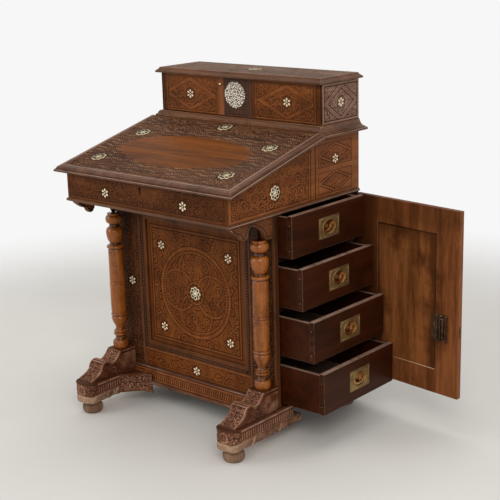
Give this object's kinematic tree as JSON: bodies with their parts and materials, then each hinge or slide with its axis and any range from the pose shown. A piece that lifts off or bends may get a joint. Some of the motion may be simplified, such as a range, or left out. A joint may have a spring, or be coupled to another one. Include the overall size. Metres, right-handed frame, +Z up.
{
  "type": "davenport desk",
  "caption": "Carved davenport writing desk with a sloping lid, a cupboard gallery, turned columns on scroll feet, and a pedestal of drawers behind a side door.",
  "frame": {"origin": "on the floor, under the middle of the writing case", "axes": "+X to the desk's right, where the side door is; +Y to the back; +Z up"},
  "size_m": [1.0412, 0.6113, 1.0132],
  "materials": {
    "carved_wood": "dark red-brown carved hardwood, worn on the high spots, waxed",
    "lid_wood": "golden brown polished hardwood",
    "column_wood": "golden brown turned hardwood, glossy",
    "drawer_wood": "very dark red-brown hardwood, waxed",
    "door_wood": "medium red-brown hardwood, dull on the inside",
    "plain_wood": "plain dark brown hardwood",
    "brass": "aged brass",
    "iron": "dark wrought iron",
    "bone": "cream bone, aged"
  },
  "bodies": {
    "carcase": {"brackets": "carved_wood", "bun_feet": "carved_wood", "case_back": "plain_wood", "case_bead": "carved_wood", "case_floor": "plain_wood", "case_front": "carved_wood", "case_sides": "carved_wood", "centre_plaque": "bone", "columns": "column_wood", "corner_blocks": "iron", "drawer_guides": "plain_wood", "dust_boards": "plain_wood", "end_frame": "plain_wood", "end_panel": "plain_wood", "foot_slabs": "carved_wood", "front_frame": "carved_wood", "front_panel": "carved_wood", "front_panel_strips": "carved_wood", "gallery_base_moulding": "carved_wood", "gallery_centre_panel": "carved_wood", "gallery_deck": "carved_wood", "gallery_partitions": "plain_wood", "gallery_top": "carved_wood", "gallery_walls": "carved_wood", "hinge_leaves_fixed": "brass", "hinge_pins": "brass", "inlays_carcase": "bone", "lid_lock_case": "iron", "pedestal_back": "plain_wood", "pedestal_floor": "plain_wood", "plinth": "carved_wood", "rear_feet": "carved_wood", "scroll_feet": "carved_wood"},
    "lid": {"lid_board": "lid_wood", "lid_mouldings": "carved_wood", "lid_hinge_leaves": "brass", "inlays_lid": "bone"},
    "lid_bolt": {"lid_lock_bolt": "iron"},
    "side_door": {"door_frame": "door_wood", "door_panel": "door_wood", "door_lock_case": "iron", "door_hinge_leaves": "brass"},
    "door_bolt": {"door_lock_bolt": "iron"},
    "gallery_door_left": {"gallery_door_left": "carved_wood", "gallery_knob": "brass", "inlay_gallery_left": "bone"},
    "gallery_door_right": {"gallery_door_right": "carved_wood", "inlay_gallery_right": "bone"},
    "drawer_1": {"drawer_1": "drawer_wood", "pull_1_plate": "brass"},
    "bail_1": {"pull_1_bail": "brass"},
    "drawer_2": {"drawer_2": "drawer_wood", "pull_2_plate": "brass"},
    "bail_2": {"pull_2_bail": "brass"},
    "drawer_3": {"drawer_3": "drawer_wood", "pull_3_plate": "brass"},
    "bail_3": {"pull_3_bail": "brass"},
    "drawer_4": {"drawer_4": "drawer_wood", "pull_4_plate": "brass"},
    "bail_4": {"pull_4_bail": "brass"}
  },
  "joints": [
    {"name": "lid_hinge", "type": "hinge", "parent": "carcase", "child": "lid", "pos_m": [0, 0.084, 0.86125], "axis": [-1, 0, 0], "range_deg": [0, 105]},
    {"name": "lid_bolt_slide", "type": "slide", "parent": "carcase", "child": "lid_bolt", "axis": [0, 0, 1], "range_m": [0, 0.006]},
    {"name": "side_door_hinge", "type": "hinge", "parent": "carcase", "child": "side_door", "pos_m": [0.3155, 0.294, 0.387], "axis": [0, 0, 1], "range_deg": [-2, 96]},
    {"name": "door_bolt_slide", "type": "slide", "parent": "side_door", "child": "door_bolt", "axis": [0.9936, -0.1132, 0], "range_m": [0, 0.009]},
    {"name": "gallery_left_hinge", "type": "hinge", "parent": "carcase", "child": "gallery_door_left", "pos_m": [-0.297, 0.122, 0.938], "axis": [0, 0, 1], "range_deg": [-90, 0]},
    {"name": "gallery_right_hinge", "type": "hinge", "parent": "carcase", "child": "gallery_door_right", "pos_m": [0.297, 0.122, 0.938], "axis": [0, 0, -1], "range_deg": [-90, 0]},
    {"name": "drawer_1_slide", "type": "slide", "parent": "carcase", "child": "drawer_1", "axis": [1, 0, 0], "range_m": [-0.063, 0.147]},
    {"name": "bail_1_hinge", "type": "hinge", "parent": "drawer_1", "child": "bail_1", "pos_m": [0.355, 0.0835, 0.603], "axis": [0, -1, 0], "range_deg": [0, 85]},
    {"name": "drawer_2_slide", "type": "slide", "parent": "carcase", "child": "drawer_2", "axis": [1, 0, 0], "range_m": [-0.097, 0.113]},
    {"name": "bail_2_hinge", "type": "hinge", "parent": "drawer_2", "child": "bail_2", "pos_m": [0.389, 0.0835, 0.459], "axis": [0, -1, 0], "range_deg": [0, 85]},
    {"name": "drawer_3_slide", "type": "slide", "parent": "carcase", "child": "drawer_3", "axis": [1, 0, 0], "range_m": [-0.135, 0.075]},
    {"name": "bail_3_hinge", "type": "hinge", "parent": "drawer_3", "child": "bail_3", "pos_m": [0.427, 0.0835, 0.315], "axis": [0, -1, 0], "range_deg": [0, 85]},
    {"name": "drawer_4_slide", "type": "slide", "parent": "carcase", "child": "drawer_4", "axis": [1, 0, 0], "range_m": [-0.168, 0.042]},
    {"name": "bail_4_hinge", "type": "hinge", "parent": "drawer_4", "child": "bail_4", "pos_m": [0.46, 0.0835, 0.171], "axis": [0, -1, 0], "range_deg": [0, 85]}
  ]
}
